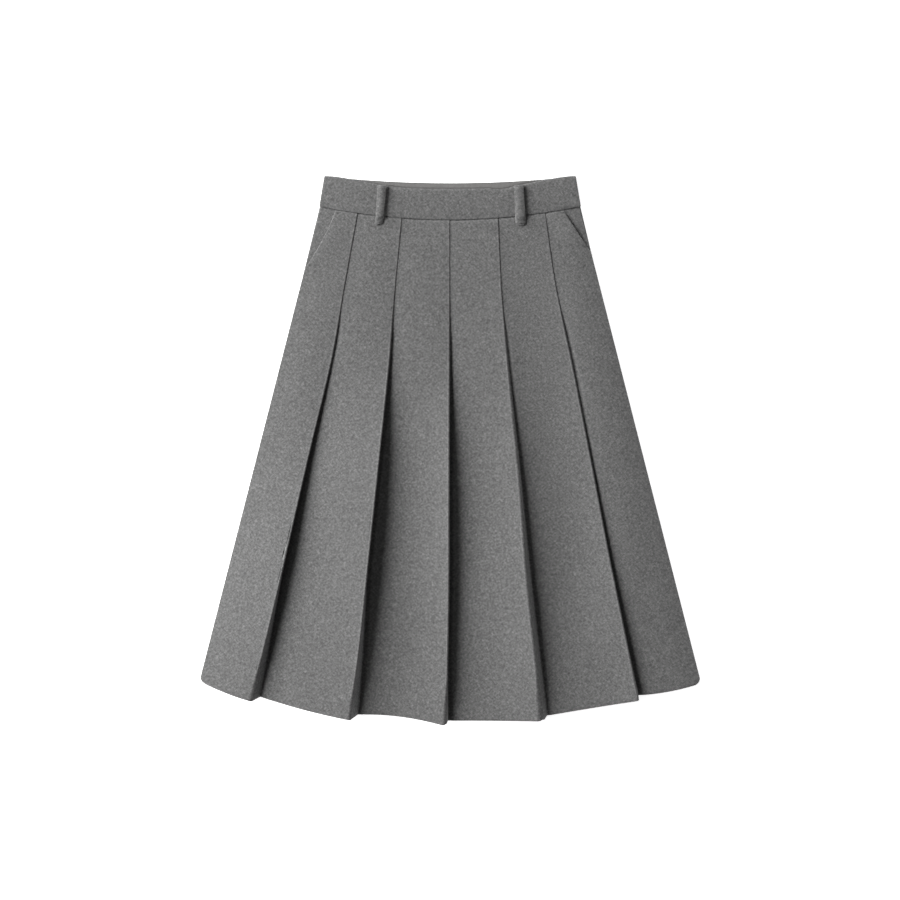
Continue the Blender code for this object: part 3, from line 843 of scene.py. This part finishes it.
def band_grid(level, other_level, seam_dip, top_y):
    """Rows of points of one half of the waistband, from its top edge down to the waist seam."""
    is_front = other_level < level
    down = -1 if is_front else 1
    radius = BAND_SIDE_RADIUS
    drop = level - other_level - 2 * radius - CLEARANCE if is_front else 0.0
    rows = []
    for t in [mix(share, ease(share), BAND_CROWDING) for share in shares(BAND_ROWS)]:
        reach = mix(HALF_BAND_TOP, HALF_BAND_SEAM, t) - (radius + BAND_WALL / 2)
        puff = BAND_PUFF * (4 * t * (1 - t)) ** BAND_PUFF_POWER
        arc = []
        for k in range(1, SIDE_STEPS + 1):
            bend = math.pi / 2 * k / SIDE_STEPS
            z = level - drop + down * radius * (1 - math.cos(bend))
            arc.append((reach + radius * math.sin(bend), z))
        flat = []
        for share in shares(BAND_POINTS):
            x = mix(-reach, reach, share)
            flat.append((x, level - drop * near_side(reach - abs(x))))
        row = []
        for x, z in [(-x, z) for x, z in reversed(arc)] + flat + arc:
            y = mix(top_y(x), seam_y(x, seam_dip) + BAND_SEAM_GAP, t)
            if is_front:
                lip = BAND_LIP * (1 - ease((top_y(x) - y) / BAND_LIP_HEIGHT))
                spot = Vector((x / BAND_RIPPLE_LENGTH, y / BAND_RIPPLE_HEIGHT, BAND_RIPPLE_SEED))
                z = z + puff + BAND_RIPPLE * noise.noise(spot) - lip
            row.append((x, y, z))
        rows.append(row)
    return rows


def round_edges(cloth, radius):
    """Rounds the cut edges of a thick strip."""
    soft = cloth.modifiers.new("Rounded edges", "BEVEL")
    soft.width = radius * MM
    soft.segments = EDGE_SEGMENTS
    soft.limit_method = "ANGLE"
    soft.angle_limit = EDGE_ANGLE
    soft.harden_normals = True


front_band = band_grid(FRONT_BAND_LEVEL, BACK_BAND_LEVEL, FRONT_DIP, front_top_y)
back_band = band_grid(BACK_BAND_LEVEL, FRONT_BAND_LEVEL, BACK_DIP, back_top_y)
bands = (
    ("waistband_front", front_band, "waistband_back_facing"),
    ("waistband_back", back_band, "floor"),
)
for node, grid, below in bands:
    band_cloth = make_cloth(node + "_cloth", grid, BAND_WALL, flannel, node)
    round_edges(band_cloth, BAND_EDGE)
    declare_sheet(grid, [below])

# Inside the back of the waistband lies a facing of smooth cloth, a shade lighter than the wool. A
# narrow strip of it shows above the front band's top edge.
FACING_GREY = 0.15
FACING_WARMTH = 0.02
FACING_FLECK = 0.25  # share of the wool's fleck that the smooth cloth has
FACING_WALL = 0.8
FACING_LEVEL = 3.6
FACING_DIP = 1.15  # it goes down under the front band's edge
FACING_DIP_WIDTH = 2.6
FACING_SIDE_INSET = 8.0
FACING_TOP_INSET = 1.2
FACING_SHORT = 1  # how far it ends before the waist seam
FACING_ROWS = 40  # closer near the band's top edge

facing_rows = []
for t in [share * share for share in shares(FACING_ROWS)]:
    half = mix(HALF_BAND_TOP, HALF_BAND_SEAM, t) - FACING_SIDE_INSET
    row = []
    for share in shares(BAND_POINTS):
        x = mix(-half, half, share)
        y = mix(back_top_y(x) - FACING_TOP_INSET, seam_y(x, BACK_DIP) + FACING_SHORT, t)
        under = front_top_y(x) + FACING_DIP_WIDTH - y
        row.append((x, y, FACING_LEVEL - FACING_DIP * ease(under / FACING_DIP_WIDTH)))
    facing_rows.append(row)
smooth = make_flannel("waistband_facing", FACING_GREY, FACING_WARMTH, FACING_FLECK)
node = "waistband_back_facing"
facing = make_cloth(node + "_cloth", facing_rows, FACING_WALL, smooth, node)
declare_sheet(facing_rows, ["waistband_back"])

# Behind each slant pocket's mouth lies a piece of the skirt's flannel, sewn in at the waist and
# the side. The outer gore's edge is the mouth, turned in and pressed.
POCKET_LEVEL = 4.4
POCKET_UNDER = 16.0  # how far the facing goes on under the mouth's edge
POCKET_SHORT = 1  # how far it ends before the mouth does
POCKET_ROWS = 24
POCKET_POINTS = 16

for pocket, word in zip(POCKETS, ("left", "right")):
    rows = []
    for t in shares(POCKET_ROWS):
        row_y = mix(seam_y(pocket.seam_x), pocket.end_y + POCKET_SHORT, t)
        inner = pocket_mouth(pocket, row_y)[0] - POCKET_UNDER
        row = []
        for share in shares(POCKET_POINTS):
            x = mix(inner, side_x(row_y), share)
            y = mix(seam_y(x), pocket.end_y + POCKET_SHORT, t)
            row.append((pocket.side * x, y, POCKET_LEVEL - side_drop(x, y)))
        rows.append(row)
    node = f"pocket_facing_{word}"
    pocket_cloth = make_cloth(node + "_cloth", rows, WALL, flannel, node)
    declare_sheet(rows, ["back_gore_1" if pocket.side < 0 else "back_gore_6"])

# Two belt loops show on the front. Each is a strip of flannel folded in three, sewn down at the
# band's top edge and a little below the waist seam, and standing off between for a belt.
LOOP_WALL = 1.8
LOOP_BELOW_SEAM = 13.0
LOOP_ROOM = 2.6  # how far it stands off between its ends
LOOP_TOP_LIFT = 3.5  # from the top, where it rises off the band at once
LOOP_SEWN = 4.0
LOOP_LIFT = 8.0
LOOP_LEVEL = 7.2
LOOP_CROWN = 1.25
LOOP_STEP = 0.8  # the foot goes down this much from the band on to the gore
LOOP_STEP_START = 7.5  # before the foot's end
LOOP_EDGE = 0.7
LOOP_ROWS = 48
LOOP_POINTS = 13
TACK_ROW = 2  # rows from a loop's end to its bar tack
Loop = namedtuple("Loop", "word top_x foot_x top_width foot_width slant corner")
LOOPS = (
    Loop("left", -89.2, -93.3, 11.6, 9.8, 2.6, 1.5),
    Loop("right", 90.4, 92.9, 11.7, 13.0, 0.0, 4.0),
)

tack_lines = []
for loop in LOOPS:
    top_y = front_top_y(loop.top_x)
    foot_y = seam_y(loop.foot_x) - LOOP_BELOW_SEAM
    rows = []
    for t in shares(LOOP_ROWS):
        from_top, from_foot = t * (top_y - foot_y), (1 - t) * (top_y - foot_y)
        lift = LOOP_ROOM * ease(from_top / LOOP_TOP_LIFT)
        lift *= ease((from_foot - LOOP_SEWN) / LOOP_LIFT)
        z = LOOP_LEVEL + lift - LOOP_STEP * ease(1 - from_foot / LOOP_STEP_START)
        row = []
        for share in shares(LOOP_POINTS):
            across = share - 0.5
            x = mix(loop.top_x, loop.foot_x, t) + across * mix(loop.top_width, loop.foot_width, t)
            from_corner = max(0.0, loop.corner - (0.5 - abs(across)) * loop.foot_width)
            rounding = loop.corner - math.sqrt(loop.corner**2 - from_corner**2)
            foot = foot_y + (across + 0.5) * loop.slant + rounding
            row.append((x, mix(top_y, foot, t), z + LOOP_CROWN * (1 - 4 * across * across)))
        rows.append(row)
    node = f"belt_loop_{loop.word}"
    loop_cloth = make_cloth(node + "_cloth", rows, LOOP_WALL, flannel, node)
    round_edges(loop_cloth, LOOP_EDGE)
    declare_sheet(rows, ["waistband_front"])
    for row in (rows[TACK_ROW], rows[-1 - TACK_ROW]):
        tack_lines.append([(x, y, z + LOOP_WALL / 2) for x, y, z in row[1:-1]])

# Bar tacks of grey thread, short close zigzags, hold the loops' two ends and the ends of the
# pockets' mouths. Geometry Nodes lead one thread to and fro along each tack's line.
TACK_WIDTH = 1.5
TACK_PITCH = 0.36  # along the line from one turn of the thread to the next
THREAD = 0.34  # its thickness
THREAD_SIDES = 5
THREAD_GREY = 0.075
THREAD_CONTRAST = 0.5
THREAD_ROUGHNESS = 0.55
POCKET_TACK_INSET = 5.0  # from the mouth's two ends
POCKET_TACK_STEPS = (6.5, 5.0, 3.5, 2.0)  # of its line, from the mouth's edge

for pocket, grid in zip(POCKETS, (front_grids[0], front_grids[-1])):
    for y in (seam_y(pocket.seam_x) - POCKET_TACK_INSET, pocket.end_y + POCKET_TACK_INSET):
        line = []
        for inset in POCKET_TACK_STEPS:
            x = pocket.side * (pocket_mouth(pocket, y)[0] - inset)
            spots = (p for row in grid for p in row)
            nearest = min(spots, key=lambda p: math.hypot(p[0] - x, p[1] - y))
            line.append((x, y, nearest[2] + WALL / 2))
        tack_lines.append(line)

rails = bpy.data.meshes.new("bar_tack_lines")
rail_points = [(x * MM, (y + SHIFT_Y) * MM, z * MM) for line in tack_lines for x, y, z in line]
rail_edges = []
for line in tack_lines:
    first = rail_edges[-1][1] + 1 if rail_edges else 0
    rail_edges += [(first + i, first + i + 1) for i in range(len(line) - 1)]
rails.from_pydata(rail_points, rail_edges, [])
rail_object = bpy.data.objects.new("bar_tack_lines", rails)
scene.collection.objects.link(rail_object)

thread, nodes, shader = new_material("sewing_thread")
place = nodes.add("ShaderNodeTexCoord", output="Object")
contrast = THREAD_CONTRAST * THREAD_GREY
tone = (fleck(nodes, place, THREAD * MM) - 0.5) * contrast + THREAD_GREY
nodes.feed(shader["Base Color"], colour(nodes, tone, tone, tone))
nodes.feed(shader["Roughness"], THREAD_ROUGHNESS)

sizes = {"Pitch": TACK_PITCH * MM, "Width": TACK_WIDTH * MM, "Thread radius": THREAD / 2 * MM}
tack_tree = bpy.data.node_groups.new("bar_tacks", "GeometryNodeTree")
sockets = tack_tree.interface
sockets.new_socket("Geometry", in_out="INPUT", socket_type="NodeSocketGeometry")
for name in sizes:
    sockets.new_socket(name, in_out="INPUT", socket_type="NodeSocketFloat")
sockets.new_socket("Geometry", in_out="OUTPUT", socket_type="NodeSocketGeometry")

nodes = Nodes(tack_tree)
rail, pitch, tack_width, radius = (
    nodes.add("NodeGroupInput", output=name) for name in ("Geometry", *sizes)
)
line = nodes.add("GeometryNodeMeshToCurve", None, {"Mesh": rail})
even = {"Curve": line, "Length": pitch}
turns = nodes.add("GeometryNodeResampleCurve", {"mode": "LENGTH"}, even)
parity = nodes.add("GeometryNodeInputIndex").math("MODULO", 2.0)
reach = (parity - 0.5) * tack_width
tangent = nodes.add("GeometryNodeInputTangent")
cross = {0: tangent, 1: (0, 0, 1)}
across = nodes.add("ShaderNodeVectorMath", {"operation": "CROSS_PRODUCT"}, cross)
aside = {0: across, "Scale": reach}
shift = nodes.add("ShaderNodeVectorMath", {"operation": "SCALE"}, aside)
zigzag = nodes.add("GeometryNodeSetPosition", None, {"Geometry": turns, "Offset": shift})
ring = {"Resolution": THREAD_SIDES, "Radius": radius}
profile = nodes.add("GeometryNodeCurvePrimitiveCircle", None, ring)
swept = {"Curve": zigzag, "Profile Curve": profile, "Fill Caps": True}
tube = nodes.add("GeometryNodeCurveToMesh", None, swept)
real = nodes.add("GeometryNodeRealizeInstances", None, {"Geometry": tube})
done = nodes.add("GeometryNodeSetMaterial", None, {"Geometry": real, "Material": thread})
nodes.feed(tack_tree.nodes.new("NodeGroupOutput").inputs["Geometry"], done)

sewer = rail_object.modifiers.new("Bar tacks", "NODES")
sewer.node_group = tack_tree
for item in tack_tree.interface.items_tree:
    if item.name in sizes:
        sewer[item.identifier] = sizes[item.name]
depsgraph = bpy.context.evaluated_depsgraph_get()
sewn_mesh = bpy.data.meshes.new_from_object(rail_object.evaluated_get(depsgraph))
rail_object.modifiers.remove(sewer)
bpy.data.objects.remove(rail_object)
tacks = bpy.data.objects.new("bar_tacks", sewn_mesh)
scene.collection.objects.link(tacks)
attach(tacks, "root")
